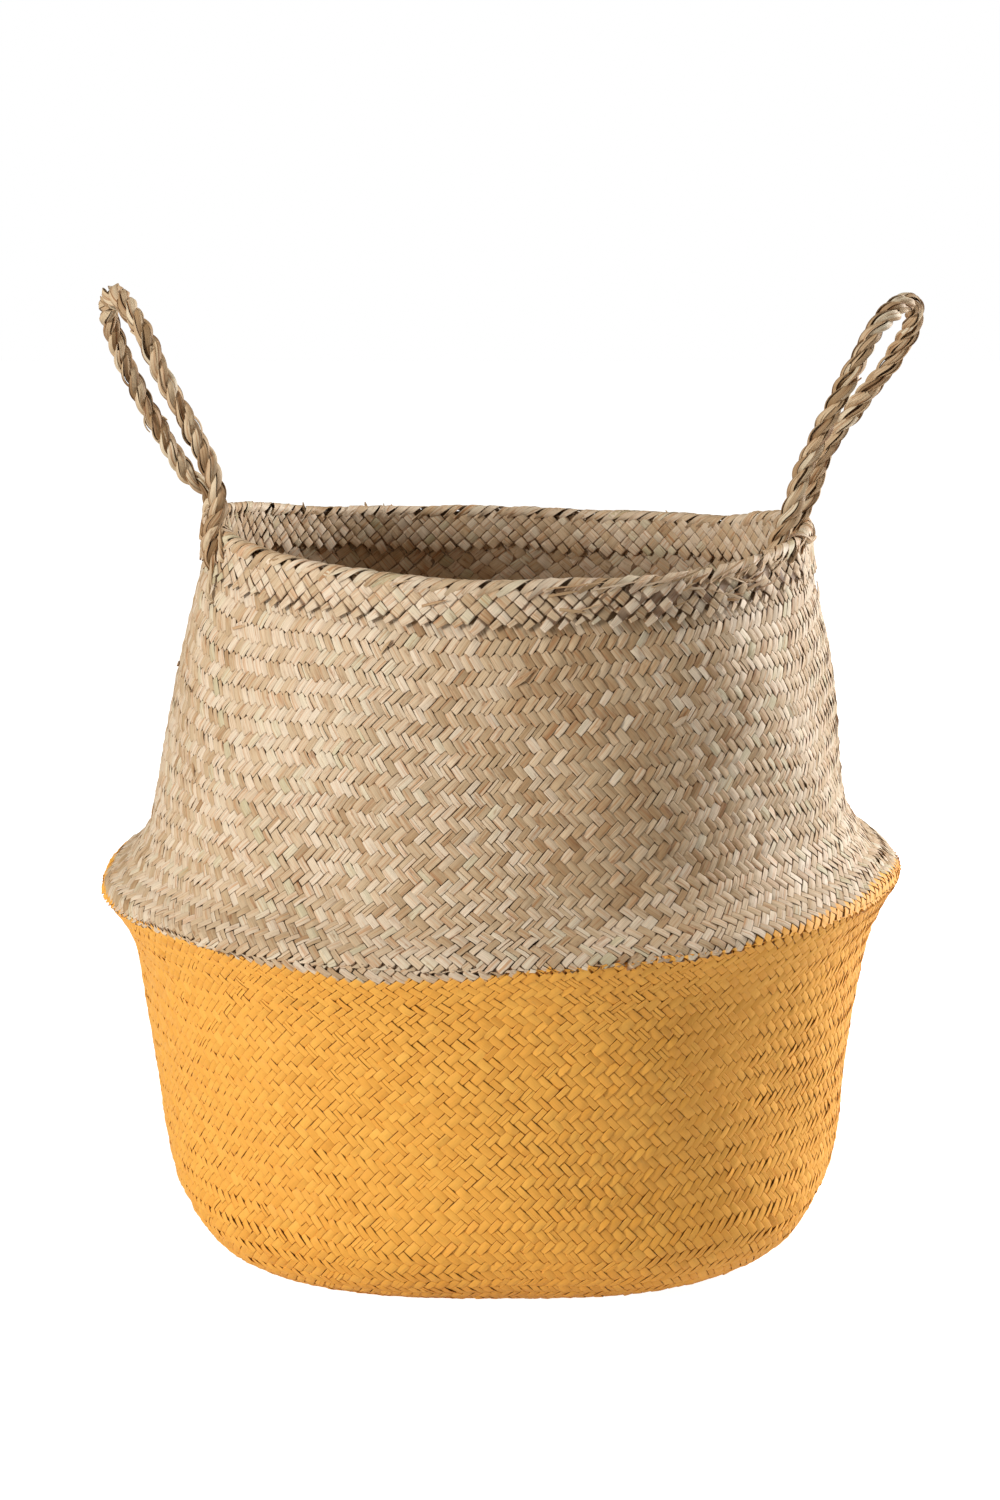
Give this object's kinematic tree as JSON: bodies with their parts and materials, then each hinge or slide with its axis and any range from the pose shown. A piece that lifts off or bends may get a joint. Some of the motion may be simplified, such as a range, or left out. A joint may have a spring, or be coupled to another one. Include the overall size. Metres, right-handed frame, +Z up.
{
  "type": "belly basket",
  "caption": "Plaited belly basket with a painted lower half, a fold above the belly, a tapered upper wall with a hemmed rim, and twisted rope handles.",
  "frame": {"origin": "centre of the flat underside that the basket stands on", "axes": "+Z up along the basket's axis, +X from the left handle to the right handle, -Y to the front as pictured"},
  "size_m": [0.3814, 0.3806, 0.4473],
  "materials": {
    "natural_plait": "matte",
    "painted_plait": "matte",
    "twisted_rope": "matte"
  },
  "bodies": {
    "lower_basket": {"base_mat": "painted_plait", "lower_wall": "painted_plait", "belly_fold": "natural_plait"},
    "upper_basket": {"upper_wall": "natural_plait", "hem_outside": "natural_plait", "hem_inside": "natural_plait", "rim_lip": "natural_plait", "left_front_eye": "twisted_rope", "left_back_eye": "twisted_rope", "right_front_eye": "twisted_rope", "right_back_eye": "twisted_rope"},
    "left_handle": {"left_handle": "twisted_rope"},
    "right_handle": {"right_handle": "twisted_rope"}
  },
  "joints": [
    {"name": "fold_down", "type": "slide", "parent": "lower_basket", "child": "upper_basket", "axis": [0, 0, 1], "range_m": [-0.115, 0], "deforming": ["belly_fold"]},
    {"name": "left_handle_swing", "type": "hinge", "parent": "upper_basket", "child": "left_handle", "pos_m": [-0.12962, -0.02486, 0.33955], "axis": [0.1819, -0.9815, -0.0591], "range_deg": [-112, 60]},
    {"name": "right_handle_swing", "type": "hinge", "parent": "upper_basket", "child": "right_handle", "pos_m": [0.13585, -0.03766, 0.33461], "axis": [0.2748, 0.9585, 0.0755], "range_deg": [-102, 76]}
  ]
}
